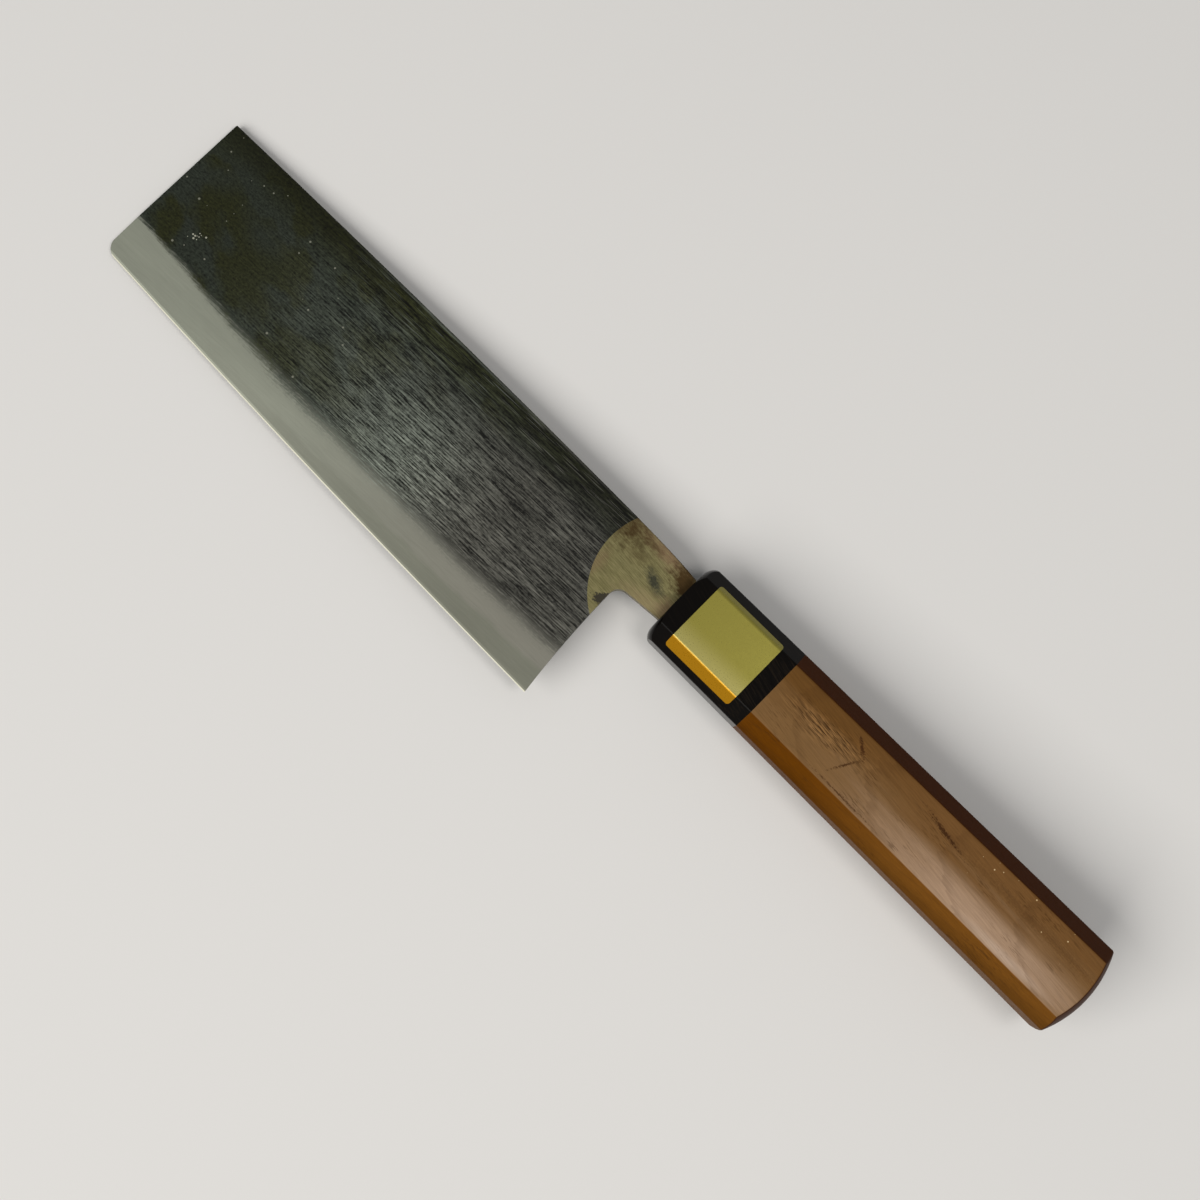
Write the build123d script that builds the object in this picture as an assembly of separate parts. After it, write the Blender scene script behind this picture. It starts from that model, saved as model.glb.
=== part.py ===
from build123d import *
from math import hypot
import os

# Nakiri, a vegetable knife: a laminated blade with a wide ground bevel on each side, a rustproof neck and
# tang joined on behind it, and an octagonal wooden handle with a black ferrule. All sizes are millimetres.
# X runs from the tip to the butt, Y from the edge to the spine and Z out of the left face of the blade.
# The ferrule's front lies at X zero and the handle's axis is the X axis. The last section moves the
# finished knife so that its origin lies under its middle.

# Blade outline
edge_length = 149.7
heel_setback = 10.7          # ferrule's front to the heel corner
heel_lean = 2.3              # the heel's line leans this far towards the tip on its way up
heel_hollow = 0.55
edge_drop_heel = 41.9        # handle's axis down to the edge
edge_drop_tip = 37.0
belly = 0.75                 # the edge bows out this far at its middle
tip_lean = 0.5
tip_round = 3.4
spine_rise_tip = 7.45        # handle's axis up to the spine
spine_rise_joint = 7.65
spine_rise_neck = 6.6
spine_crown = 0.55
neck_crown = 0.13
spine_chamfer = 0.25

# Blade section
spine_thickness_tip = 2.2
spine_thickness_neck = 3.8
shoulder_thickness_tip = 1.5     # where the bevel begins
shoulder_thickness_neck = 2.3
bevel_height_heel = 12.1
bevel_height_tip = 11.5
bevel_dip = 2.6                  # the bevel is this much lower at the middle of the blade
micro_height = 0.7               # second, steeper bevel along the edge
micro_thickness = 0.3
edge_thickness = 0.06
core_thickness_tip = 0.6         # hard steel between two soft sides
core_thickness_neck = 1.24

# Neck and tang
joint_radius = 20.2              # round joint between the blade and the neck
joint_setback = 2.3
joint_drop = 0.2
neck_drop_ferrule = 6.5          # handle's axis down to the neck's lower side
neck_drop_notch = 7.6
notch_round = 3.0
tang_length = 88.0
tang_width_front = 9.0
tang_width_back = 5.0
tang_thickness_front = 3.0
tang_thickness_back = 1.8
tang_point = 6.0                 # length of the tang's pointed end

# Handle, with the same eight facets on the ferrule and on the wood
handle_length = 136.2
handle_width_front = 23.6        # edge side to spine side
handle_width_butt = 25.8
handle_depth_front = 17.8        # left facet to right facet
handle_depth_butt = 20.2
corner_reach = 4.2               # each sloping facet, along the width
corner_drop = 5.0                # and along the depth
ridge_round = 1.0
butt_radius_width = 30.0         # dome of the butt, seen from the left
butt_radius_depth = 18.4         # and seen from the edge
butt_round = 0.8
ferrule_length = 31.1
front_round = 3.5
front_margin = 0.1               # the front's rounding clears the ridges by this

# Inside the handle
ferrule_wall = 6.0               # solid front of the ferrule, in front of the dowel
dowel_diameter = 13.0
dowel_length = 50.0
dowel_chamfer = 0.8
glue_gap = 0.05                  # round the dowel
end_gap = 0.3                    # at each end of the dowel
tang_gap = 0.4                   # adhesive on each side of the tang
tang_end_gap = 3.0               # adhesive past the tang's point

# Foil label round three facets of the ferrule
label_start = 5.1
label_length = 21.0
label_wrap_edge = 2.6            # reach over the sloping facets, along the width
label_wrap_spine = 1.4
label_thickness = 0.12
label_corner = 0.8

# Working values
overrun = 5.0                    # cutting and trimming shapes run past the piece by this
station_count = 9

x_heel = -heel_setback
x_tip = x_heel - edge_length
x_notch = x_heel - heel_lean
joint_center = (-joint_setback, -joint_drop)
x_joint = -joint_setback - (joint_radius**2 - (spine_rise_joint + joint_drop) ** 2) ** 0.5


def between(share, start, end):
    """The value that lies a share of the way from start to end."""
    return start + share * (end - start)


def bow(share, start, end, rise):
    """As between, with a smooth bow that stands off the straight line by rise at its middle."""
    return between(share, start, end) + rise * 4 * share * (1 - share)


def cross_section(x, points):
    """A flat face across the knife at x, from points given as (Y, Z)."""
    return Plane(origin=(x, 0, 0), x_dir=(0, 1, 0), z_dir=(1, 0, 0)) * Polygon(*points, align=None)


def side_profile(points):
    """A flat face seen from the edge, from points given as (X, Z)."""
    return Plane(origin=(0, 0, 0), x_dir=(1, 0, 0), z_dir=(0, -1, 0)) * Polygon(*points, align=None)


# Blade

def spine_rise(x):
    if x < x_joint:
        return bow((x - x_tip) / (x_joint - x_tip), spine_rise_tip, spine_rise_joint, spine_crown)
    return bow((x - x_joint) / -x_joint, spine_rise_joint, spine_rise_neck, neck_crown)


def blade_section(x):
    """Section of blade or neck: chamfered spine, flat sides, wide bevels and a fine bevel at the edge."""
    from_tip = (x - x_tip) / -x_tip
    from_heel = (x_heel - x) / edge_length
    spine = spine_rise(x)
    edge = -bow(from_heel, edge_drop_heel, edge_drop_tip, belly)
    shoulder = edge + bow(from_heel, bevel_height_heel, bevel_height_tip, -bevel_dip)
    half_spine = between(from_tip, spine_thickness_tip, spine_thickness_neck) / 2
    half_shoulder = between(from_tip, shoulder_thickness_tip, shoulder_thickness_neck) / 2
    vanishing = micro_height * edge_thickness / (micro_thickness - edge_thickness)
    left = [
        (spine, half_spine - spine_chamfer),
        (spine - spine_chamfer, half_spine),
        (shoulder, half_shoulder),
        (edge + micro_height, micro_thickness / 2),
        (edge - vanishing, 0),
    ]
    right = [(y, -z) for y, z in reversed(left[:-1])]
    return cross_section(x, left + right)


def blade_envelope():
    """Thickness of the blade and neck everywhere, before the outline trims it."""
    steps = range(station_count)
    stations = [between(step / (station_count - 1), x_tip - overrun, 0) for step in steps]
    return loft([blade_section(x) for x in stations])


def outline():
    """Blade and neck seen from the left, open past the spine, where the envelope is the limit."""
    spine_over = max(spine_rise_tip, spine_rise_joint) + spine_crown + overrun
    slant = tip_lean / (spine_rise_tip + edge_drop_tip)
    tip_top = (x_tip + slant * (spine_over + edge_drop_tip), spine_over)
    tip_low = (x_tip, -edge_drop_tip)
    edge_middle = ((x_tip + x_heel) / 2, -bow(1 / 2, edge_drop_heel, edge_drop_tip, belly))
    heel = (x_heel, -edge_drop_heel)
    heel_middle = ((x_heel + x_notch) / 2 - heel_hollow, -(edge_drop_heel + neck_drop_notch) / 2)
    notch = (x_notch, -neck_drop_notch)
    neck_low = (0, -neck_drop_ferrule)
    neck_top = (0, spine_over)
    face = make_face([
        Line(tip_top, tip_low),
        ThreePointArc(tip_low, edge_middle, heel),
        ThreePointArc(heel, heel_middle, notch),
        Line(notch, neck_low),
        Line(neck_low, neck_top),
        Line(neck_top, tip_top),
    ])
    face = fillet(face.vertices().sort_by_distance(notch)[0], radius=notch_round)
    return fillet(face.vertices().sort_by_distance(tip_low)[0], radius=tip_round)


plan = extrude(outline(), amount=spine_thickness_neck, both=True)
joint_disk = extrude(Pos(*joint_center) * Circle(joint_radius), amount=spine_thickness_neck, both=True)
envelope = blade_envelope()
blade = (plan - joint_disk) & envelope
neck = (plan & joint_disk) & envelope

core_slab = extrude(
    side_profile([
        (x_tip - overrun, core_thickness_tip / 2),
        (x_tip - overrun, -core_thickness_tip / 2),
        (0, -core_thickness_neck / 2),
        (0, core_thickness_neck / 2),
    ]),
    amount=edge_drop_heel + overrun,
    both=True,
)
core_steel = blade & core_slab
sides = (blade - core_slab).solids().sort_by(Axis.Z)
cladding_right, cladding_left = sides[0], sides[-1]


# Tang

def tang_width(x):
    return between(x / tang_length, tang_width_front, tang_width_back)


def tang_thickness(x):
    return between(x / tang_length, tang_thickness_front, tang_thickness_back)


x_point = tang_length - tang_point
tang_plan = Polygon(
    (0, tang_width_front / 2),
    (0, -tang_width_front / 2),
    (x_point, -tang_width(x_point) / 2),
    (tang_length, 0),
    (x_point, tang_width(x_point) / 2),
    align=None,
)
tang_sides = side_profile([
    (0, tang_thickness_front / 2),
    (0, -tang_thickness_front / 2),
    (tang_length, -tang_thickness_back / 2),
    (tang_length, tang_thickness_back / 2),
])
tang_bar = extrude(tang_plan, amount=tang_thickness_front, both=True) & extrude(
    tang_sides, amount=tang_width_front, both=True
)
tang = neck + tang_bar


# Handle

def handle_corners(x, grow=0.0):
    """The octagon's eight corners at x, or those of one whose facets stand out further by grow."""
    half_width = between(x / handle_length, handle_width_front, handle_width_butt) / 2
    half_depth = between(x / handle_length, handle_depth_front, handle_depth_butt) / 2
    slant = hypot(corner_reach, corner_drop)
    side = (half_width + grow, half_depth - corner_drop + grow * (slant - corner_drop) / corner_reach)
    upper = (half_width - corner_reach + grow * (slant - corner_reach) / corner_drop, half_depth + grow)
    mirrors = [(1, 1), (1, -1), (-1, 1), (-1, -1)]
    return [(x, y * across, z * up) for y, z in (side, upper) for across, up in mirrors]


def handle_stretch(start, end, grow=0.0):
    """The tapered octagon from start to end, with its eight ridges rounded."""
    block = ConvexPolyhedron(handle_corners(start, grow) + handle_corners(end, grow))
    ridges = block.edges().filter_by(Plane.YZ, reverse=True)
    return fillet(ridges, radius=ridge_round + grow)


def round_bar(start, end, diameter):
    """A cylinder on the handle's axis."""
    return extrude(Plane(origin=(start, 0, 0), z_dir=(1, 0, 0)) * Circle(diameter / 2), amount=end - start)


def ridge_distance(x):
    """From the axis to the sharp corner of the octagon that stands out furthest."""
    half_width = between(x / handle_length, handle_width_front, handle_width_butt) / 2
    half_depth = between(x / handle_length, handle_depth_front, handle_depth_butt) / 2
    return max(hypot(half_width, half_depth - corner_drop), hypot(half_width - corner_reach, half_depth))


def turned(edges):
    """A solid of revolution about the handle's axis, from edges drawn above that axis."""
    return revolve(make_face(edges), axis=Axis.X)


def front_form():
    """Everything behind the ferrule's rounded front."""
    start = ridge_distance(front_round) + front_margin - front_round
    reach = ridge_distance(handle_length) + overrun
    end = ferrule_length + overrun
    return turned([
        Line((0, 0), (0, start)),
        RadiusArc((0, start), (front_round, start + front_round), front_round),
        Line((front_round, start + front_round), (front_round, reach)),
        Line((front_round, reach), (end, reach)),
        Line((end, reach), (end, 0)),
        Line((end, 0), (0, 0)),
    ])


def butt_form():
    """Everything in front of the domed butt: half a wheel whose rim is the dome, and a block before it."""
    start = ferrule_length - overrun
    hub = handle_length - butt_radius_width
    half_depth = handle_depth_butt / 2 + overrun
    rim_drop = butt_radius_depth - (butt_radius_depth**2 - half_depth**2) ** 0.5
    rim = butt_radius_width - rim_drop
    profile = make_face([
        Line((hub, 0, -half_depth), (hub, -rim, -half_depth)),
        ThreePointArc((hub, -rim, -half_depth), (hub, -butt_radius_width, 0), (hub, -rim, half_depth)),
        Line((hub, -rim, half_depth), (hub, 0, half_depth)),
        Line((hub, 0, half_depth), (hub, 0, -half_depth)),
    ])
    wheel = revolve(profile, axis=Axis((hub, 0, 0), (0, 0, 1)), revolution_arc=180)
    width, depth = butt_radius_width * 2, half_depth * 2
    block = Box(hub - start, width, depth, align=(Align.MIN, Align.CENTER, Align.CENTER))
    return wheel + Pos(start, 0, 0) * block


def wooden_grip():
    """The wood before it is bored, with a softened rim round its butt."""
    grip = handle_stretch(ferrule_length, handle_length) & butt_form()
    dome = grip.faces().sort_by(Axis.X)[-1]
    return fillet(dome.edges(), radius=butt_round)


dowel_start = ferrule_wall + end_gap
dowel_end = dowel_start + dowel_length
bore_end = dowel_end + end_gap
bore = round_bar(ferrule_wall, bore_end, dowel_diameter + glue_gap * 2)
slot = Box(
    bore_end,
    tang_width_front + tang_gap * 2,
    tang_thickness_front + tang_gap * 2,
    align=(Align.MIN, Align.CENTER, Align.CENTER),
)
pilot_diameter = hypot(tang_width(bore_end), tang_thickness(bore_end)) + tang_gap * 2
pilot = round_bar(bore_end, tang_length + tang_end_gap, pilot_diameter)

ferrule = (handle_stretch(0, ferrule_length) & front_form()) - bore - slot
handle_body = wooden_grip() - bore - pilot
dowel = round_bar(dowel_start, dowel_end, dowel_diameter)
dowel = chamfer(dowel.edges().filter_by(GeomType.CIRCLE), length=dowel_chamfer) - slot
tang_adhesive = (slot + pilot) - tang_bar


# Label

def label():
    """Thin foil that follows the facets, trimmed to a rounded rectangle seen from the left."""
    middle = label_start + label_length / 2
    half_flat = between(middle / handle_length, handle_width_front, handle_width_butt) / 2 - corner_reach
    width = half_flat * 2 + label_wrap_edge + label_wrap_spine
    shift = (label_wrap_spine - label_wrap_edge) / 2
    sheet = Pos(middle, shift) * RectangleRounded(label_length, width, label_corner)
    front, back = label_start - overrun, label_start + label_length + overrun
    skin = handle_stretch(front, back, label_thickness) - handle_stretch(front, back)
    return skin & extrude(sheet, amount=handle_depth_butt)


# Placing and writing

pieces = {
    "core_steel": core_steel,
    "cladding_left": cladding_left,
    "cladding_right": cladding_right,
    "tang": tang,
    "ferrule": ferrule,
    "handle_body": handle_body,
    "dowel": dowel,
    "tang_adhesive": tang_adhesive,
    "label": label(),
}
box = Compound(children=[Compound(piece.solids()) for piece in pieces.values()]).bounding_box()
to_origin = Pos(-box.center().X, -box.center().Y, -box.min.Z)

os.makedirs("parts", exist_ok=True)
for name, piece in pieces.items():
    export_step(to_origin * Compound(piece.solids()), f"parts/{name}.step")
print("box", box.size, "moved by", to_origin.position)
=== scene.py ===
# %% [markdown]
# # Nakiri: a laminated vegetable knife
# A nakiri has a straight edge, a square tip and a thin blade. Its face keeps the black scale of the forge,
# and a wide bevel is ground bright along the edge. A straw-coloured neck leads into an octagonal walnut
# handle with a polished black ferrule, and a plain foil label is wrapped round three of its facets.
# All the shapes come from the CAD model. This script gives them their finishes, the light and the camera.

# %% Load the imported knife
from math import radians

import bpy
from mathutils import Matrix, Vector


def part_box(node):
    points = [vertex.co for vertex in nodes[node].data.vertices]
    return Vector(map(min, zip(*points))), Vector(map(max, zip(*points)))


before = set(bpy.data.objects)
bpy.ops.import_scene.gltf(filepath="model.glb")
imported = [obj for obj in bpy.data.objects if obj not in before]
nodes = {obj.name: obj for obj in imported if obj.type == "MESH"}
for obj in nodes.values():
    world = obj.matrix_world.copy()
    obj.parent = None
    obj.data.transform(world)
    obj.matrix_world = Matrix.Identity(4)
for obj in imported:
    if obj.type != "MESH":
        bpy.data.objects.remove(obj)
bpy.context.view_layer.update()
print("loaded", sorted(nodes))

# %% [markdown]
# ## Where things are
# Every later cell measures from one place: the middle of the ferrule's front, where the neck enters the
# handle. X runs to the butt, Y to the spine and Z out of the face that looks up. The helper turns
# millimetres from that place into Blender's metres.

# %% One place to measure from
MM = 0.001
ferrule_low, ferrule_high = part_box("ferrule")
ferrule_front = Vector((ferrule_low.x, (ferrule_low.y + ferrule_high.y) / 2, (ferrule_low.z + ferrule_high.z) / 2))


def place(x, y, z):
    """A point in metres, from millimetres behind, above and out of the middle of the ferrule's front."""
    return ferrule_front + Vector((x, y, z)) * MM


print("ferrule's front at", [round(value, 4) for value in ferrule_front])

# %% [markdown]
# ## The camera
# The photograph looks almost straight down from less than half a metre, with the knife lying across the
# picture from corner to corner. The camera's place was worked out from the knife's own outline: the blade's
# edge, the ferrule and the butt shrink with distance in a way that only one place explains.
# An aim point and a direction for the top of the picture fix the rest.

# %% Camera at the photograph's place
EYE = place(10.0, -65.6, 466.9)
AIM = place(-13.5, -13.1, 0.0)
PICTURE_TOP = Vector((-0.7014, 0.7036, 0.1144))
FIELD_OF_VIEW = radians(34.39)


def aim(item, eye, target, top=Vector((0, 1, 0))):
    """Put a lamp or camera at eye, turn it to look at target, and keep top upwards in its picture."""
    back = (eye - target).normalized()
    right = top.cross(back).normalized()
    turn = Matrix((right, back.cross(right), back)).transposed()
    item.matrix_world = Matrix.Translation(eye) @ turn.to_4x4()


camera_data = bpy.data.cameras.new("camera")
camera_data.sensor_fit = "HORIZONTAL"
camera_data.angle = FIELD_OF_VIEW
camera_data.clip_start = 10 * MM
camera = bpy.data.objects.new("camera", camera_data)
bpy.context.scene.collection.objects.link(camera)
aim(camera, EYE, AIM, PICTURE_TOP)
bpy.context.scene.camera = camera
print("camera", round((EYE - AIM).length, 3), "m away")

# %% [markdown]
# ## The table
# Laid on its side, a knife with a light handle tips forward until the tip and the bottom of the ferrule's
# front touch the table. The CAD model lies level, so here the table leans by the same few degrees instead.
# It is one plane, set through those two touching places. The ferrule's rounded rim reaches a hair below that
# plane, so the lowest vertex is measured and the table is lowered to it. A box would hide the knife from more
# sides, and a curved backdrop isn't needed where the world shows the same pale tone behind everything.

# %% Where the knife touches the table
TABLE_HALF_SIZE = 0.7
TIP_REACH = 5 * MM
FRONT_REACH = 8 * MM


def lowest_point(node, reach):
    """The lowest vertex of a CAD piece, no farther than reach behind its front."""
    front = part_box(node)[0].x
    points = [vertex.co for vertex in nodes[node].data.vertices if vertex.co.x <= front + reach]
    return min(points, key=lambda point: point.z).copy()


tip_rest = lowest_point("cladding_right", TIP_REACH)
front_rest = lowest_point("ferrule", FRONT_REACH)
lean = (front_rest.z - tip_rest.z) / (front_rest.x - tip_rest.x)


def above_line(point):
    """Height of a point over the line through the two touching places."""
    return point.z - front_rest.z - lean * (point.x - front_rest.x)


lowest = min(
    above_line(vertex.co)
    for node in ("ferrule", "cladding_right", "core_steel") for vertex in nodes[node].data.vertices
)
front_rest.z += lowest
print("table leans by", round(lean, 4), "and is lowered by", round(-lowest / MM, 3), "mm")

# %% Table plane
slope = Vector((1, 0, lean)).normalized()
across = Vector((0, 1, 0))
corners = [
    front_rest + slope * TABLE_HALF_SIZE * side + across * TABLE_HALF_SIZE * end
    for side, end in ((-1, -1), (1, -1), (1, 1), (-1, 1))
]
table_mesh = bpy.data.meshes.new("table")
table_mesh.from_pydata(corners, [], [(0, 1, 2, 3)])
table = bpy.data.objects.new("table", table_mesh)
bpy.context.scene.collection.objects.link(table)
print("table", table.name, "is", 2 * TABLE_HALF_SIZE, "m wide")

# %% [markdown]
# ## Helpers for arithmetic
# A finish is a graph of small nodes. It could be wired by hand in the Shader Editor, but a graph of a hundred
# nodes is easier to read as a few lines of arithmetic. Each helper adds one node and returns its result.


# %% Arithmetic, fades and mixes
def connect(tree, socket, value):
    """Give a socket a number or colour, or a link from another node."""
    if isinstance(value, bpy.types.NodeSocket):
        tree.links.new(value, socket)
    else:
        socket.default_value = value


def calc(tree, operation, *values, clamp=False):
    """One step of arithmetic."""
    node = tree.nodes.new("ShaderNodeMath")
    node.operation = operation
    node.use_clamp = clamp
    for socket, value in zip(node.inputs, values):
        connect(tree, socket, value)
    return node.outputs[0]


def fade(tree, value, start, end, first=0.0, last=1.0):
    """Ease from first to last as the value goes from start to end."""
    node = tree.nodes.new("ShaderNodeMapRange")
    node.interpolation_type = "SMOOTHSTEP"
    for name, entry in (("Value", value), ("From Min", start), ("From Max", end), ("To Min", first), ("To Max", last)):
        connect(tree, node.inputs[name], entry)
    return node.outputs[0]


def mix(tree, share, first, second):
    """A colour that lies a share of the way from first to second."""
    node = tree.nodes.new("ShaderNodeMix")
    node.data_type = "RGBA"
    for index, value in ((0, share), (6, first), (7, second)):
        connect(tree, node.inputs[index], value)
    return node.outputs[2]


print("helpers:", connect.__name__, calc.__name__, fade.__name__, mix.__name__)

# %% [markdown]
# ## Helpers for patterns
# A pattern could be painted on an image, but here it is a formula in the Object coordinates, so it stays on the
# steel and the wood however the camera moves, and runs through the whole solid. A Mapping node counts the
# coordinates in the pattern's own sizes: a noise twenty times longer than wide is a field of brush strokes.
# A spot is a soft ellipse whose limit can be made ragged by a noise, for stains, patches and cracks.


# %% Patterns, noises and spots
def pattern(tree, sizes, center=(0, 0, 0), turn=(0, 0, 0)):
    """Object coordinates counted in pattern sizes (mm), from a centre (mm) and turned by degrees."""
    coordinates = tree.nodes.new("ShaderNodeTexCoord")
    mapping = tree.nodes.new("ShaderNodeMapping")
    mapping.vector_type = "TEXTURE"
    mapping.inputs["Location"].default_value = place(*center)
    mapping.inputs["Rotation"].default_value = [radians(angle) for angle in turn]
    mapping.inputs["Scale"].default_value = [size * MM for size in sizes]
    tree.links.new(coordinates.outputs["Object"], mapping.inputs["Vector"])
    return mapping.outputs[0]


def noise(tree, vector, detail=2.0, roughness=0.5):
    """Soft random values around one half."""
    node = tree.nodes.new("ShaderNodeTexNoise")
    tree.links.new(vector, node.inputs["Vector"])
    node.inputs["Scale"].default_value = 1.0
    node.inputs["Detail"].default_value = detail
    node.inputs["Roughness"].default_value = roughness
    return node.outputs["Fac"]


def centered(tree, value, gain, base):
    """A noise made to swing round base, gain times as far as it swung round one half."""
    return calc(tree, "MULTIPLY_ADD", calc(tree, "SUBTRACT", value, 0.5), gain, base)


def spot(tree, center, sizes, turn=0.0, ragged=None, swing=1.0):
    """One at a centre (mm), easing to zero at the given half sizes (mm). A noise may make its limit ragged."""
    node = tree.nodes.new("ShaderNodeVectorMath")
    node.operation = "LENGTH"
    tree.links.new(pattern(tree, sizes, center, (0, 0, turn)), node.inputs[0])
    reach = node.outputs["Value"] if ragged is None else centered(tree, ragged, swing, node.outputs["Value"])
    return fade(tree, reach, 1.0, 0.0)


print("helpers:", pattern.__name__, noise.__name__, centered.__name__, spot.__name__)


# %% Shading, bumps and new finishes
def shade(tree, color, factor):
    """A colour made darker or lighter by a factor."""
    node = tree.nodes.new("ShaderNodeVectorMath")
    node.operation = "SCALE"
    connect(tree, node.inputs[0], color if isinstance(color, bpy.types.NodeSocket) else color[:3])
    connect(tree, node.inputs["Scale"], factor)
    return node.outputs[0]


def bump(tree, height, strength, distance):
    """A normal that follows a height, with the distance in millimetres."""
    node = tree.nodes.new("ShaderNodeBump")
    node.inputs["Strength"].default_value = strength
    node.inputs["Distance"].default_value = distance * MM
    tree.links.new(height, node.inputs["Height"])
    return node.outputs["Normal"]


def new_finish(name):
    """A material with its node tree and its main shader."""
    material = bpy.data.materials.new(name)
    material.use_nodes = True
    tree = material.node_tree
    return material, tree, tree.nodes["Principled BSDF"]


def set_finish(node, material):
    """Give a CAD piece its finish."""
    nodes[node].data.materials.clear()
    nodes[node].data.materials.append(material)


print("helpers:", shade.__name__, bump.__name__, new_finish.__name__, set_finish.__name__)

# %% [markdown]
# ## The table's finish
# Plain matte paper. A fine noise could give it a grain, but one colour and a high roughness keep the eye on the
# knife. It stays below white, so the knife's shadow shows and nothing in the picture clips.

# %% Table finish
TABLE_COLOR = (0.72, 0.71, 0.69, 1)

table_material, tree, shader = new_finish("table_paper")
shader.inputs["Base Color"].default_value = TABLE_COLOR
shader.inputs["Roughness"].default_value = 0.9
shader.inputs["Specular IOR Level"].default_value = 0.1
table_mesh.materials.append(table_material)
print("table finished")

# %% [markdown]
# ## The blade: measuring across it
# Scale, bevel and edge lie at heights above the cutting edge, so the finish first works out that height for
# every point. Edge, shoulder and spine are the same gentle curves as in the CAD model: a straight line with a
# bow. A painted mask would do too, but it would need an unwrapped blade and would blur along the edge.

# %% Heights above the cutting edge, in millimetres
EDGE_LENGTH = 149.7
HEEL_SETBACK = 10.7
EDGE_DROP_HEEL, EDGE_DROP_TIP, BELLY = 41.9, 37.0, 0.75
SPINE_HEEL, SPINE_TIP, SPINE_CROWN = 7.65, 7.45, 0.55
BEVEL_HEEL, BEVEL_TIP, BEVEL_DIP = 12.1, 11.5, 2.6


def axis_distance(tree, axis):
    """Millimetres from the ferrule's front along one axis."""
    separate = tree.nodes.new("ShaderNodeSeparateXYZ")
    tree.links.new(pattern(tree, (1, 1, 1)), separate.inputs[0])
    return separate.outputs[axis]


def bow(tree, share, start, end, rise):
    """A line from start to end, bowed out by rise at its middle."""
    line = calc(tree, "MULTIPLY_ADD", share, end - start, start)
    hump = calc(tree, "MULTIPLY", share, calc(tree, "SUBTRACT", 1.0, share))
    return calc(tree, "MULTIPLY_ADD", hump, 4 * rise, line)


def blade_heights(tree):
    """Share of the way from heel to tip, height above the edge and height above the bevel's shoulder."""
    from_heel = calc(tree, "SUBTRACT", -HEEL_SETBACK, axis_distance(tree, "X"))
    share = calc(tree, "DIVIDE", from_heel, EDGE_LENGTH, clamp=True)
    drop = bow(tree, share, EDGE_DROP_HEEL, EDGE_DROP_TIP, BELLY)
    above_edge = calc(tree, "ADD", axis_distance(tree, "Y"), drop)
    bevel = bow(tree, share, BEVEL_HEEL, BEVEL_TIP, -BEVEL_DIP)
    return share, above_edge, calc(tree, "SUBTRACT", above_edge, bevel)


print("bevel is", BEVEL_HEEL, "mm high at the heel and", BEVEL_TIP, "mm at the tip")

# %% [markdown]
# ## The blade: forge scale
# The scale is a thin black skin. Near the tip it is smooth, in soft slate and olive clouds. From the middle to
# the heel it was brushed, and a broad patch over the bevel is lighter: partly rubbed down towards bare steel and
# partly a painted highlight. A photograph of steel could be projected on the blade, but two stretched noises,
# one broad and one fine, give strokes that never repeat, and the same noise later makes the colour, the bump and
# the bevel's ragged limit agree.

# %% Colours of the scale
SCALE_SLATE = (0.0180, 0.0220, 0.0160, 1)
SCALE_OLIVE = (0.0150, 0.0165, 0.0050, 1)
# Worn scale, also used as painted highlight on the face: the broad patch and the line under the spine.
SCALE_WORN_AND_HIGHLIGHT = (0.148, 0.166, 0.140, 1)
SCALE_WORN_AND_HIGHLIGHT_HEEL = (0.150, 0.148, 0.128, 1)
SCALE_HEEL = (0.0200, 0.0200, 0.0165, 1)
SCALE_SPECK = (0.34, 0.34, 0.27, 1)
STROKE_TURN = 2.4
BROAD_STROKE = (8, 0.36, 1.0)
FINE_STROKE = (3.6, 0.21, 1.0)
TIP_CLOUDS = (
    # centre, half sizes, turn, colour
    ((-151, -4, 0), (11, 7, 9), 40, SCALE_SLATE),
    ((-135, -8, 0), (19, 7, 9), -20, SCALE_SLATE),
    ((-149, -13, 0), (7, 4.5, 9), 0, SCALE_OLIVE),
    ((-129, -19, 0), (13, 5, 9), -10, SCALE_OLIVE),
    ((-118, 6, 0), (50, 5, 9), -4, SCALE_OLIVE),
)


def blade_strokes(tree):
    """Brush strokes that drift towards the spine on their way to the heel."""
    broad = noise(tree, pattern(tree, BROAD_STROKE, turn=(0, 0, STROKE_TURN)), 1.0, 0.6)
    fine = noise(tree, pattern(tree, FINE_STROKE, (2, 1, 0), (0, 0, STROKE_TURN - 2)), 1.0, 0.6)
    return calc(tree, "MULTIPLY_ADD", fine, 0.5, calc(tree, "MULTIPLY", broad, 0.5))


print("scale strokes lean by", STROKE_TURN, "degrees, with", len(TIP_CLOUDS), "clouds near the tip")


# %% Wear and colour of the scale
# A broad patch, partly scale rubbed towards bare steel and partly a painted highlight.
WORN_AND_HIGHLIGHT_PATCH = ((-71, -23, 0), (31, 22, 60))


def scale_wear_and_highlight(tree, share, height):
    """How far the black scale is rubbed down and lit by a painted highlight: a broad patch that is partly wear and
    partly painted highlight, and a band that fades to tip and spine.
    """
    cloud = noise(tree, pattern(tree, (18, 7, 9), (5, 0, 0), (0, 0, STROKE_TURN)), 3.0, 0.6)
    band = calc(tree, "MULTIPLY", fade(tree, share, 0.9, 0.45), fade(tree, height, 8, -13))
    band = calc(tree, "MULTIPLY", band, centered(tree, cloud, 0.6, 0.19))
    # The patch: partly wear, partly painted highlight.
    patch = spot(tree, *WORN_AND_HIGHLIGHT_PATCH, STROKE_TURN, cloud, 0.9)
    return calc(tree, "MULTIPLY_ADD", patch, 0.42, band, clamp=True)


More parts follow.
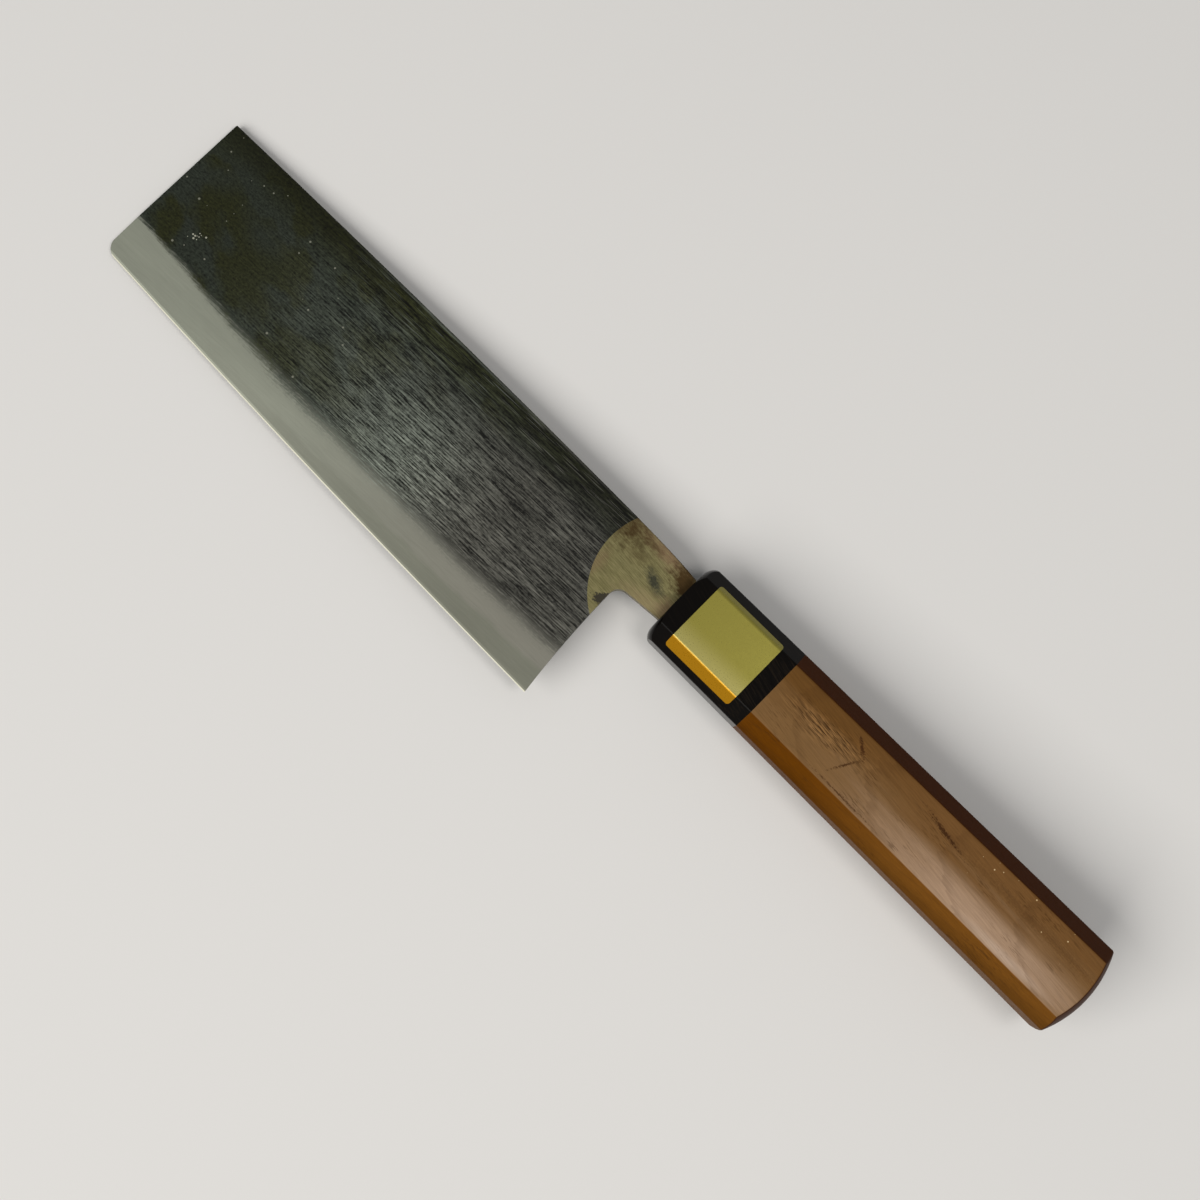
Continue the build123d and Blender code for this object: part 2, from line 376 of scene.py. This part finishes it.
def scale_color(tree, share, height):
    """Slate and olive clouds, olive towards the spine and darker where the spine meets the neck."""
    clouds = noise(tree, pattern(tree, (17, 11, 8), (-150, 0, 0), (0, 0, -20)), 3.0, 0.55)
    olive = calc(tree, "MAXIMUM", fade(tree, clouds, 0.44, 0.58, 0.0, 0.95), fade(tree, height, -5, 7, 0.0, 0.8))
    color = mix(tree, olive, SCALE_SLATE, SCALE_OLIVE)
    for center, sizes, turn, tint in TIP_CLOUDS:
        color = mix(tree, spot(tree, center, sizes, turn, clouds, 1.5), color, tint)
    to_heel = calc(tree, "MULTIPLY", fade(tree, share, 0.65, 0.3), fade(tree, height, 3, -4))
    color = mix(tree, to_heel, color, SCALE_HEEL)
    corner = calc(tree, "MULTIPLY", fade(tree, share, 0.6, 0.1), fade(tree, height, -8, 5))
    rim = calc(tree, "MULTIPLY", fade(tree, share, 0.45, 0.7), fade(tree, height, -2, 9))
    darker = calc(tree, "MAXIMUM", calc(tree, "MULTIPLY", corner, 1.35), rim)
    return shade(tree, color, calc(tree, "MULTIPLY_ADD", darker, -0.5, 1.0))


print("scale helpers:", blade_strokes.__name__, scale_wear_and_highlight.__name__, scale_color.__name__)

# %% [markdown]
# ## The blade: marks on the scale
# Long fine scratches run with the strokes, a painted highlight runs along the spine, and pale specks lie near the
# tip, most of them in one cluster. Specks could be small meshes, but they have no thickness to speak of.
# Voronoi texture gives every cell of a loose grid one dot of its own size, and chance picks the cells that
# show it.


# %% Specks, scratches and the painted highlight along the spine
SCRATCH = (9, 0.2, 1.0)
SPECK_CLUSTER = ((-147, -19.4, 0), (3.4, 3.0, 9))


def dots(tree, cell, size, share):
    """Round specks of about a size (mm), at most one in each cell (mm) of a loose grid, in a share of them."""
    node = tree.nodes.new("ShaderNodeTexVoronoi")
    node.voronoi_dimensions = "2D"
    node.inputs["Scale"].default_value = 1.0
    tree.links.new(pattern(tree, (cell, cell, cell)), node.inputs["Vector"])
    luck = tree.nodes.new("ShaderNodeSeparateXYZ")
    tree.links.new(node.outputs["Color"], luck.inputs[0])
    picked = calc(tree, "GREATER_THAN", calc(tree, "ADD", luck.outputs["X"], share), 1.0)
    reach = calc(tree, "MULTIPLY_ADD", luck.outputs["Y"], size / cell, size / cell / 2)
    dot = fade(tree, node.outputs["Distance"], reach, calc(tree, "MULTIPLY", reach, 0.5))
    return calc(tree, "MULTIPLY", picked, dot)


def near(tree, value, center, limit, core, last=1.0):
    """Zero where a value is farther than limit from a centre, easing to last where it is nearer than core."""
    apart = calc(tree, "ABSOLUTE", calc(tree, "SUBTRACT", value, center))
    return fade(tree, apart, limit, core, 0.0, last)


def streaked_face(tree, share, height, wear_and_highlight, streaks, brushed):
    """The scale, partly worn lighter and partly lit by a painted highlight, streaked by the brush, with long fine
    scratches, and the colour of worn scale and painted highlight.
    """
    worn_and_highlight = mix(tree, fade(tree, share, 0.45, 0.2), SCALE_WORN_AND_HIGHLIGHT, SCALE_WORN_AND_HIGHLIGHT_HEEL)
    face = shade(tree, mix(tree, wear_and_highlight, scale_color(tree, share, height), worn_and_highlight), streaks)
    scratches = noise(tree, pattern(tree, SCRATCH, turn=(0, 0, STROKE_TURN - 1.5)), 1.0, 0.5)
    scratches = fade(tree, scratches, 0.60, 0.72, 0.0, 0.45)
    scratches = calc(tree, "MULTIPLY", scratches, calc(tree, "MULTIPLY", brushed, brushed))
    return mix(tree, scratches, face, worn_and_highlight), worn_and_highlight


def marked_face(tree, share, height, face, worn_and_highlight):
    """The face with a painted highlight along the spine, and with its specks."""
    under_spine = calc(tree, "SUBTRACT", bow(tree, share, SPINE_HEEL, SPINE_TIP, SPINE_CROWN), height)
    # Painted highlight: a light line just under the spine, strongest about two fifths of the way from heel to tip.
    spine_highlight = near(tree, under_spine, 0.45, 0.4, 0.1)
    middle = near(tree, share, 0.4, 0.4, 0.05, 0.3)
    face = mix(tree, calc(tree, "MULTIPLY", spine_highlight, middle), face, worn_and_highlight)
    cluster = dots(tree, 0.8, 0.24, spot(tree, *SPECK_CLUSTER))
    lone = dots(tree, 3.0, 0.26, fade(tree, share, 0.5, 0.8, 0.0, 0.16))
    return mix(tree, calc(tree, "MAXIMUM", cluster, calc(tree, "MULTIPLY", lone, 0.45)), face, SCALE_SPECK)


print("mark helpers:", dots.__name__, near.__name__, streaked_face.__name__, marked_face.__name__)

# %% [markdown]
# ## The blade: the ground bevel
# The bevel is a pale satin. The hard core shows as a slightly darker strip with a wavy limit, and the honed edge
# shines. The bevel's upper limit isn't a crisp line, because the stone runs out over the scale, so the strokes
# shift that limit up and down, more so towards the heel.

# %% Bevel colours and the limit of the scale
BEVEL_GREY = (0.222, 0.234, 0.192, 1)
BEVEL_GREY_HEEL = (0.158, 0.155, 0.131, 1)
CORE_GREY = (0.206, 0.214, 0.176, 1)
CORE_GREY_HEEL = (0.138, 0.141, 0.114, 1)
EDGE_BRIGHT = (0.46, 0.45, 0.37, 1)


def ground_color(tree, share, above_edge, stroke):
    """The bevel: satin grey, the slightly darker core along the edge, and the honed edge itself."""
    tone = noise(tree, pattern(tree, (45, 9, 9), (0, -38, 0)), 2.0, 0.5)
    to_tip = fade(tree, share, 0.1, 0.75)
    wave = noise(tree, pattern(tree, (10, 30, 30), (-4, 0, 0)), 3.0, 0.5)
    above_core = calc(tree, "SUBTRACT", centered(tree, wave, 3.0, above_edge), bow(tree, share, 6.4, 3.2, -1.2))
    core = calc(tree, "MULTIPLY", fade(tree, above_core, 0.7, -0.7), fade(tree, share, 0.85, 0.5))
    satin = mix(tree, core, mix(tree, to_tip, BEVEL_GREY_HEEL, BEVEL_GREY),
                mix(tree, to_tip, CORE_GREY_HEEL, CORE_GREY))
    satin = shade(tree, satin, centered(tree, stroke, 0.3, centered(tree, tone, 0.3, 1.0)))
    return mix(tree, fade(tree, above_edge, 0.36, 0.18), satin, EDGE_BRIGHT)


def scale_limit(tree, share, above_shoulder, stroke, mottle):
    """One on the scale and zero on the bevel. The limit is ragged, and softer towards the heel."""
    wave = noise(tree, pattern(tree, (9, 40, 40)), 3.0, 0.6)
    ragged = calc(tree, "MULTIPLY", calc(tree, "SUBTRACT", stroke, 0.5), fade(tree, share, 0.95, 0.5, 3.0, 9.0))
    finer = fade(tree, share, 0.95, 0.5, 1.5, 5.0)
    ragged = calc(tree, "MULTIPLY_ADD", calc(tree, "SUBTRACT", mottle, 0.5), finer, ragged)
    limit = calc(tree, "ADD", ragged, centered(tree, wave, 1.8, above_shoulder))
    soft = fade(tree, share, 0.98, 0.6, 1.0, 2.8)
    return fade(tree, limit, calc(tree, "MULTIPLY", soft, -0.7), soft)


print("bevel helpers:", ground_color.__name__, scale_limit.__name__)

# %% [markdown]
# ## The blade: one finish for three layers
# The two soft sides and the hard core are separate pieces, but the grinder and the brush went over all of them
# at once. One graph does the whole blade, so the layers meet without a step. Bare steel is metallic and the
# scale much less so, and the strokes stand out as a bump on the scale alone.


# %% Blade finish
MOTTLE = (0.9, 0.55, 1.0)


def blade_finish(name):
    """The finish of one layer: scale above, bevel below, and the strokes as relief."""
    material, tree, shader = new_finish(name)
    share, above_edge, above_shoulder = blade_heights(tree)
    height = axis_distance(tree, "Y")
    stroke = blade_strokes(tree)
    wear_and_highlight = scale_wear_and_highlight(tree, share, height)

    brushed = fade(tree, share, 0.88, 0.5, 0.12, 1.0)
    swing = calc(tree, "MULTIPLY", calc(tree, "SUBTRACT", stroke, 0.5), brushed)
    mottle = noise(tree, pattern(tree, MOTTLE, turn=(0, 0, STROKE_TURN)), 3.0, 0.8)
    streaks = calc(tree, "MAXIMUM", calc(tree, "MULTIPLY_ADD", swing, 9.0, centered(tree, mottle, 3.6, 1.0)), 0.12)
    face, worn_and_highlight = streaked_face(tree, share, height, wear_and_highlight, streaks, brushed)
    face = marked_face(tree, share, height, face, worn_and_highlight)
    scale = scale_limit(tree, share, above_shoulder, stroke, mottle)
    color = mix(tree, scale, ground_color(tree, share, above_edge, stroke), face)
    tree.links.new(color, shader.inputs["Base Color"])

    bare = calc(tree, "MAXIMUM", calc(tree, "SUBTRACT", 1.0, scale), calc(tree, "MULTIPLY", wear_and_highlight, 0.6))
    tree.links.new(calc(tree, "MULTIPLY_ADD", bare, 0.8, 0.2), shader.inputs["Metallic"])
    rough = calc(tree, "MULTIPLY_ADD", scale, 0.08, 0.38)
    rough = calc(tree, "MULTIPLY_ADD", fade(tree, above_edge, 0.9, 0.6), 0.14, rough)
    tree.links.new(rough, shader.inputs["Roughness"])
    shader.inputs["Specular IOR Level"].default_value = 0.1
    relief = calc(tree, "MULTIPLY", swing, calc(tree, "MULTIPLY_ADD", scale, 0.9, 0.1))
    tree.links.new(bump(tree, relief, 0.5, 0.08), shader.inputs["Normal"])
    return material


blade_layers = ("cladding_left", "cladding_right", "core_steel")
for piece in blade_layers:
    set_finish(piece, blade_finish("finish_" + piece))
print("finished", *blade_layers)

# %% [markdown]
# ## The neck
# Behind the round joint the steel is a different, rustproof one, brushed lengthwise and tinted straw by the heat
# of the joint. It is browner along the spine and near the ferrule, with a few smudges and a sooty mark at the
# heel's corner. One noise could tint it all, but then no stain would lie where heat and hands put it. So each
# stain is a spot of its own in a list, with a ragged limit.

# %% Neck colours and stains
NECK_STRAW = (0.118, 0.106, 0.046, 1)
NECK_PALE = (0.150, 0.134, 0.064, 1)
NECK_LIGHT = (0.186, 0.148, 0.078, 1)
NECK_PINK = (0.150, 0.098, 0.056, 1)
NECK_BROWN = (0.042, 0.025, 0.009, 1)
NECK_GREY = (0.034, 0.034, 0.022, 1)
NECK_SOOT = (0.018, 0.015, 0.010, 1)
NECK_STROKE = (3.8, 0.16, 1)
NECK_STROKE_TURN = -4.5
SOOT_MARK = ((-13.4, -12.6, 0), (3.6, 2.5, 9))
STAINS = (
    # centre, half sizes, turn, colour, depth
    ((-9.0, 6.2, 0), (17.0, 3.6, 9), -4, NECK_PINK, 0.9),
    ((-0.5, -4.2, 0), (4.0, 4.5, 9), 0, NECK_PINK, 1.0),
    ((-20.5, -7.0, 0), (3.0, 6.5, 9), 0, NECK_PINK, 0.5),
    ((-20.5, 4.5, 0), (8.5, 7.0, 9), 20, NECK_BROWN, 0.95),
    ((-13.8, 5.4, 0), (5.0, 2.2, 9), -4, NECK_BROWN, 0.7),
    ((-14.5, 1.2, 0), (6.0, 3.0, 9), 12, NECK_BROWN, 0.5),
    ((-1.4, 4.4, 0), (8.0, 5.6, 9), -30, NECK_BROWN, 1.5),
    ((-7.2, -0.8, 0), (5.4, 2.2, 9), -20, NECK_GREY, 1.4),
    ((-5.5, -6.0, 0), (12.0, 4.0, 9), 12, NECK_LIGHT, 0.8),
)

print(len(STAINS), "stains on the neck")

# %% Neck finish
neck, tree, shader = new_finish("finish_neck")
strokes = noise(tree, pattern(tree, NECK_STROKE, turn=(0, 0, NECK_STROKE_TURN)), 4.0, 0.6)
cloud = noise(tree, pattern(tree, (2.0, 1.1, 3), (3, 0, 0), (0, 0, NECK_STROKE_TURN)), 4.0, 0.75)
color = mix(tree, fade(tree, strokes, 0.35, 0.65), NECK_STRAW, NECK_PALE)
for center, sizes, turn, stain, depth in STAINS:
    here = spot(tree, center, sizes, turn, cloud, 1.3)
    color = mix(tree, calc(tree, "MULTIPLY", here, depth, clamp=True), color, stain)
color = shade(tree, color, centered(tree, cloud, 0.6, centered(tree, strokes, 1.0, 1.0)))
grains = noise(tree, pattern(tree, (0.8, 0.6, 3)), 3.0, 0.7)
soot = fade(tree, spot(tree, *SOOT_MARK, 30, grains, 1.6), 0.28, 0.40)
color = mix(tree, calc(tree, "MULTIPLY", soot, 0.92), color, NECK_SOOT)
tree.links.new(color, shader.inputs["Base Color"])
tree.links.new(fade(tree, soot, 0.0, 1.0, 0.85, 0.0), shader.inputs["Metallic"])
tree.links.new(fade(tree, strokes, 0.3, 0.7, 0.46, 0.36), shader.inputs["Roughness"])
shader.inputs["Specular IOR Level"].default_value = 0.15
tree.links.new(bump(tree, strokes, 0.3, 0.04), shader.inputs["Normal"])
set_finish("tang", neck)
print("neck finished")

# %% [markdown]
# ## The ferrule
# It is polished black, so what shows is the light it mirrors. Fine fibres run askew, and show near the wood. A
# low IOR keeps the pale surround from greying its sides, which lowering the roughness or the colour can't do.

# %% Ferrule finish
FERRULE_BLACK = (0.0028, 0.0022, 0.0018, 1)
FERRULE_FIBRE = (0.0100, 0.0068, 0.0040, 1)

ferrule, tree, shader = new_finish("finish_ferrule")
fibres = noise(tree, pattern(tree, (7, 0.35, 0.5), turn=(0, 0, -15)), 3.0, 0.6)
near_wood = fade(tree, axis_distance(tree, "X"), 8, 30, 0.25, 1.0)
color = mix(tree, calc(tree, "MULTIPLY", fade(tree, fibres, 0.5, 0.68), near_wood), FERRULE_BLACK, FERRULE_FIBRE)
tree.links.new(color, shader.inputs["Base Color"])
tree.links.new(fade(tree, fibres, 0.3, 0.7, 0.09, 0.16), shader.inputs["Roughness"])
shader.inputs["IOR"].default_value = 1.12
tree.links.new(bump(tree, calc(tree, "MULTIPLY", fibres, near_wood), 0.15, 0.03), shader.inputs["Normal"])
set_finish("ferrule", ferrule)
print("ferrule finished")

# %% [markdown]
# ## The walnut
# The board lay far from the middle of the trunk, so the growth rings are nearly flat in it and cut the top facet
# in a few blunt tongues. Rings measured from a far, leaning axis give those, and the same rings run true round
# the other facets. Each facet cuts the fibres at another angle, so the top is pale and the edge side amber. Painted
# shade darkens the amber's outer facet and makes the spine side red-brown, and the butt's dark end grain is partly
# its own tone and partly painted shade. Short pores follow a grain that runs slightly askew. They crowd into a
# band that ends in two dark cracks. A pale band along the edge side of the top facet is partly paler wood and
# partly painted sheen, with more painted sheen along its ridge. A wood texture could be wrapped round the handle,
# but its figure would not run through the corners, as it does in a solid pattern.

# %% Walnut colours and lines
WALNUT_TAN = (0.182, 0.098, 0.037, 1)
WALNUT_BROWN = (0.122, 0.056, 0.014, 1)
WALNUT_BROWN_BUTT = (0.148, 0.070, 0.021, 1)
# Partly paler wood and partly painted sheen, along the edge side of the top facet.
WALNUT_PALE_AND_SHEEN = (0.365, 0.242, 0.156, 1)
# Painted sheen: a highlight beside the edge-side ridge of the top facet, near the butt.
WALNUT_PAINTED_SHEEN = (0.430, 0.310, 0.225, 1)
WALNUT_AMBER = (0.104, 0.033, 0.001, 1)
WALNUT_AMBER_BUTT = (0.140, 0.054, 0.007, 1)
# Painted shade: the dark red-brown given to the spine-side facets.
WALNUT_RED_PAINTED_SHADE = (0.046, 0.012, 0.002, 1)
# End grain of the butt: partly its own darker tone and partly painted shade.
WALNUT_END_GRAIN_AND_SHADE = (0.048, 0.015, 0.005, 1)
WALNUT_DARK = (0.050, 0.019, 0.005, 1)
WALNUT_PORE = (0.026, 0.010, 0.003, 1)
WALNUT_SPARK = (0.58, 0.42, 0.22, 1)
GRAIN_TURN = -6
# Where the pale band lies: partly paler wood and partly painted sheen.
PALE_AND_SHEEN_BAND = ((103, -5.6, 10), (63, 8.8, 7))
# Where the painted sheen lies along the ridge.
PAINTED_SHEEN_BAND = ((113, -7.2, 10), (19, 1.9, 7))
WOOD_LINES = (
    # centre, half sizes, turn, depth
    ((55.9, 4.6, 9), (3.8, 0.7, 9), -39, 1.3),
    ((55.8, -1.0, 9), (5.4, 0.45, 9), 59, 0.9),
    ((83.5, 4.0, 9), (8.0, 0.7, 9), -10, 1.2),
    ((60.0, -7.2, 9), (12.0, 0.4, 9), -1, 0.8),
    ((114.0, 3.6, 10), (30, 1.8, 6), -1, 0.3),
)

print(len(WOOD_LINES), "dark lines in the walnut")


# %% Growth rings
RING_SPACING = 2.1
RING_LEAN = -5.5
RING_AXIS = (58, 3, -52)


def ring_lines(tree):
    """Dark lines where the late wood of each ring meets the surface."""
    separate = tree.nodes.new("ShaderNodeSeparateXYZ")
    tree.links.new(pattern(tree, (1, 1, 1), RING_AXIS, (0, RING_LEAN, 0)), separate.inputs[0])
    radius = calc(tree, "SQRT", calc(tree, "ADD", calc(tree, "POWER", separate.outputs["Y"], 2.0),
                                     calc(tree, "POWER", separate.outputs["Z"], 2.0)))
    sway = noise(tree, pattern(tree, (9, 3.5, 9), (20, 0, 0), (0, 0, GRAIN_TURN)), 3.0, 0.6)
    season = calc(tree, "FRACT", calc(tree, "DIVIDE", centered(tree, sway, 0.9, radius), RING_SPACING))
    return calc(tree, "MULTIPLY", fade(tree, season, 0.80, 0.95), fade(tree, season, 1.0, 0.97))


print("growth rings every", RING_SPACING, "mm")


# %% Tone of each facet
def facing(tree, axis, start, end):
    """Ease from zero to one as the part of the surface's direction along an axis goes from start to end."""
    coordinates = tree.nodes.new("ShaderNodeTexCoord")
    separate = tree.nodes.new("ShaderNodeSeparateXYZ")
    tree.links.new(coordinates.outputs["Normal"], separate.inputs[0])
    return fade(tree, separate.outputs[axis], start, end)


def facet_color(tree, clouds, along, across):
    """The wood's tone: cloudy and partly pale on top, with painted sheen on the edge side, amber on the edge side with
    painted shade on its outer facet, painted shade on the spine side, and a dark end grain that is partly painted
    shade.
    """
    to_butt = fade(tree, along, 45, 85)
    color = mix(tree, to_butt, WALNUT_BROWN, WALNUT_BROWN_BUTT)
    color = mix(tree, fade(tree, centered(tree, clouds, 12, across), 5, -3), color, WALNUT_TAN)
    # A pale band on the top facet: partly paler wood and partly painted sheen.
    color = mix(tree, spot(tree, *PALE_AND_SHEEN_BAND, 0.0, clouds, 0.8), color, WALNUT_PALE_AND_SHEEN)
    # Painted sheen along the edge-side ridge near the butt.
    color = mix(tree, spot(tree, *PAINTED_SHEEN_BAND, 0.0, clouds, 0.6), color, WALNUT_PAINTED_SHEEN)
    amber = mix(tree, to_butt, WALNUT_AMBER, WALNUT_AMBER_BUTT)
    # Painted shade: the amber darkens on its outer facet towards the edge side.
    amber = shade(tree, amber, fade(tree, across, -9.6, -12.4, 1.0, 0.7))
    color = mix(tree, facing(tree, "Y", -0.3, -0.6), color, amber)
    # Painted shade: facets that face the spine take the dark red-brown.
    color = mix(tree, facing(tree, "Y", 0.3, 0.6), color, WALNUT_RED_PAINTED_SHADE)
    # The butt's end grain, dark partly as end grain and partly by painted shade.
    return mix(tree, facing(tree, "X", 0.3, 0.6), color, WALNUT_END_GRAIN_AND_SHADE)


print("facet helpers:", facing.__name__, facet_color.__name__)


# %% Lines, fibres, pores and dust
WOOD_FIBRE = (7, 0.32, 0.32)
WOOD_PORE = (2.8, 0.26, 0.26)
PORE_BAND = ((47, 1.4, 9), (18, 5.2, 6))


def lined_color(tree, color):
    """The growth rings, cracks and other dark lines over the wood's tone."""
    color = mix(tree, calc(tree, "MULTIPLY", ring_lines(tree), 0.16), color, WALNUT_DARK)
    grain = noise(tree, pattern(tree, (0.6, 0.3, 0.5), turn=(0, 0, GRAIN_TURN)), 2.0, 0.7)
    for center, sizes, turn, depth in WOOD_LINES:
        line = spot(tree, center, sizes, turn, grain, 2.6)
        color = mix(tree, calc(tree, "MULTIPLY", line, depth, clamp=True), color, WALNUT_DARK)
    return color


def walnut_color(tree):
    """Colour of the wood and how deep it is in a pore."""
    clouds = noise(tree, pattern(tree, (50, 4.5, 6), (-10, 2, 5), (0, 0, -2)), 3.0, 0.55)
    along, across = axis_distance(tree, "X"), axis_distance(tree, "Y")
    color = lined_color(tree, facet_color(tree, clouds, along, across))
    fibre = noise(tree, pattern(tree, WOOD_FIBRE, turn=(0, 0, GRAIN_TURN)), 3.0, 0.7)
    crowd = spot(tree, *PORE_BAND, 6, clouds, 1.0)
    color = shade(tree, color, centered(tree, fibre, calc(tree, "MULTIPLY_ADD", crowd, 1.6, 0.7), 1.0))
    groups = fade(tree, noise(tree, pattern(tree, (16, 5, 5), (9, 0, 0)), 2.0, 0.5), 0.48, 0.68, 0.05, 0.6)
    groups = calc(tree, "MAXIMUM", groups, crowd)
    creases = noise(tree, pattern(tree, WOOD_PORE, turn=(0, 0, GRAIN_TURN)), 1.0, 0.5)
    gleam = calc(tree, "MULTIPLY", fade(tree, creases, 0.46, 0.36, 0.0, 0.5), crowd)
    color = shade(tree, color, calc(tree, "ADD", gleam, 1.0))
    pores = calc(tree, "MULTIPLY", fade(tree, creases, 0.55, 0.63), groups)
    color = mix(tree, calc(tree, "MULTIPLY", pores, 0.7), color, WALNUT_PORE)

    upper_side = calc(tree, "MULTIPLY", facing(tree, "Z", 0.8, 0.95), fade(tree, along, 80, 95))
    upper_side = calc(tree, "MULTIPLY", upper_side, fade(tree, across, 0, 3))
    dust = calc(tree, "MULTIPLY", dots(tree, 2.0, 0.16, 0.10), upper_side)
    return mix(tree, dust, color, WALNUT_SPARK), pores


print("wood helpers:", lined_color.__name__, walnut_color.__name__)

# %% Walnut finish
walnut, tree, shader = new_finish("finish_walnut")
color, pores = walnut_color(tree)
tree.links.new(color, shader.inputs["Base Color"])
tree.links.new(fade(tree, pores, 0.0, 1.0, 0.38, 0.6), shader.inputs["Roughness"])
shader.inputs["IOR"].default_value = 1.08
tree.links.new(bump(tree, calc(tree, "SUBTRACT", 1.0, pores), 0.25, 0.05), shader.inputs["Normal"])
set_finish("handle_body", walnut)
print("walnut finished")

# %% [markdown]
# ## The foil label
# Gold foil on thin paper, wrapped over two ridges. Its face is a greener gold with the faint grain of the paper,
# with a painted highlight towards the edge-side ridge, and where it turns down over that ridge a painted
# reflection makes it orange. Full metal would flare or go dark with every change of angle, so the foil is
# little more than half metallic. It is left plain.

# %% Label finish
FOIL_GREEN = (0.225, 0.200, 0.040, 1)
FOIL_SHADE = (0.180, 0.158, 0.030, 1)
# Painted highlight towards the edge-side ridge of the label's face.
FOIL_PAINTED_HIGHLIGHT = (0.285, 0.255, 0.085, 1)
# Painted reflection: warm light mirrored in the foil where it turns down over the edge-side ridge.
FOIL_ORANGE_PAINTED_REFLECTION = (0.370, 0.175, 0.003, 1)

foil, tree, shader = new_finish("finish_foil")
paper = noise(tree, pattern(tree, (0.35, 0.35, 0.35)), 2.0, 0.6)
height = axis_distance(tree, "Y")
color = mix(tree, fade(tree, paper, 0.35, 0.65, 0.0, 0.8), FOIL_GREEN, FOIL_SHADE)
# Painted highlight: the face grows lighter towards the edge-side ridge.
color = mix(tree, fade(tree, height, -1.5, -7.5, 0.0, 0.9), color, FOIL_PAINTED_HIGHLIGHT)
# Painted reflection: warm orange on the strip that turns down over the edge-side ridge.
color = mix(tree, fade(tree, height, -7.4, -8.0), color, FOIL_ORANGE_PAINTED_REFLECTION)
tree.links.new(color, shader.inputs["Base Color"])
shader.inputs["Metallic"].default_value = 0.6
tree.links.new(fade(tree, paper, 0.3, 0.7, 0.26, 0.38), shader.inputs["Roughness"])
shader.inputs["Specular IOR Level"].default_value = 0.1
tree.links.new(bump(tree, paper, 0.15, 0.02), shader.inputs["Normal"])
set_finish("label", foil)
print("label finished")

# %% [markdown]
# ## Inside the handle
# The dowel and the resin are hidden, but an exploded view shows them, so they get finishes too: a pale wood
# with its grain along the pin, and a swirled amber.

# %% Dowel and resin finishes
DOWEL_PALE = (0.62, 0.48, 0.30, 1)
DOWEL_BROWN = (0.46, 0.33, 0.19, 1)
RESIN_PALE = (0.42, 0.27, 0.10, 1)
RESIN_BROWN = (0.30, 0.17, 0.05, 1)

dowel, tree, shader = new_finish("finish_dowel")
grain = noise(tree, pattern(tree, (12, 0.5, 0.5)), 3.0, 0.6)
color = mix(tree, fade(tree, grain, 0.3, 0.7), DOWEL_PALE, DOWEL_BROWN)
tree.links.new(color, shader.inputs["Base Color"])
tree.links.new(fade(tree, grain, 0.3, 0.7, 0.55, 0.7), shader.inputs["Roughness"])
set_finish("dowel", dowel)

resin, tree, shader = new_finish("finish_resin")
swirl = noise(tree, pattern(tree, (4, 2, 2)), 2.0, 0.5)
tree.links.new(mix(tree, swirl, RESIN_PALE, RESIN_BROWN), shader.inputs["Base Color"])
tree.links.new(fade(tree, swirl, 0.3, 0.7, 0.18, 0.3), shader.inputs["Roughness"])
set_finish("tang_adhesive", resin)
print("dowel and resin finished")

# %% [markdown]
# ## Lamps
# One large softbox stands far off beyond the cutting edge, where the photograph's light comes from, and a small
# one above the butt adds to the soft sheen on the handle, which is partly painted on the wood. A sun would
# light as evenly, but its hard shadow isn't the photograph's.

# %% Two softboxes
WARM_WHITE = (1.0, 0.98, 0.95)
WARMER_WHITE = (1.0, 0.97, 0.94)


def softbox(name, eye, target, width, height, power, color):
    """A rectangular lamp, sized in metres and driven in watts, that looks at a target."""
    lamp = bpy.data.lights.new(name, "AREA")
    lamp.shape = "RECTANGLE"
    lamp.size, lamp.size_y = width, height
    lamp.energy = power
    lamp.color = color
    box = bpy.data.objects.new(name, lamp)
    bpy.context.scene.collection.objects.link(box)
    aim(box, eye, target, Vector((0, 0.5, 1)))
    print(name, "is", round((eye - target).length, 2), "m away")


softbox("edge_softbox", place(-400, -1360, 1440), place(0, 0, 0), width=1.9, height=1.3, power=36.0, color=WARM_WHITE)
softbox("butt_softbox", place(300, 90, 900), place(90, 0, 0), width=0.3, height=0.3, power=2.2, color=WARMER_WHITE)

# %% [markdown]
# ## Surround and backdrop
# A dim, even surround fills the shadows. What the camera and the steel see behind everything is a pale backdrop
# in the table's own colour. It could be a large wall, but a wall would also light the knife, so the world shows
# it to camera, mirror and transmission rays alone.

# %% World
SURROUND = (0.95, 0.97, 1.0, 1)
SURROUND_STRENGTH = 0.24

world = bpy.data.worlds.new("surround")
bpy.context.scene.world = world
world.use_nodes = True
tree = world.node_tree
tree.nodes.clear()
surround = tree.nodes.new("ShaderNodeBackground")
surround.inputs["Color"].default_value = SURROUND
surround.inputs["Strength"].default_value = SURROUND_STRENGTH
backdrop = tree.nodes.new("ShaderNodeBackground")
backdrop.inputs["Color"].default_value = TABLE_COLOR
backdrop.inputs["Strength"].default_value = 1.0
ray = tree.nodes.new("ShaderNodeLightPath")
seen = calc(tree, "MAXIMUM", ray.outputs["Is Camera Ray"], ray.outputs["Is Glossy Ray"])
seen = calc(tree, "MAXIMUM", seen, ray.outputs["Is Transmission Ray"])
choose = tree.nodes.new("ShaderNodeMixShader")
output = tree.nodes.new("ShaderNodeOutputWorld")
tree.links.new(seen, choose.inputs[0])
tree.links.new(surround.outputs[0], choose.inputs[1])
tree.links.new(backdrop.outputs[0], choose.inputs[2])
tree.links.new(choose.outputs[0], output.inputs["Surface"])
print("surround at strength", SURROUND_STRENGTH)

# %% [markdown]
# ## Finish
# The view stays plain.

# %% View and the end
bpy.context.scene.view_settings.view_transform = "Standard"
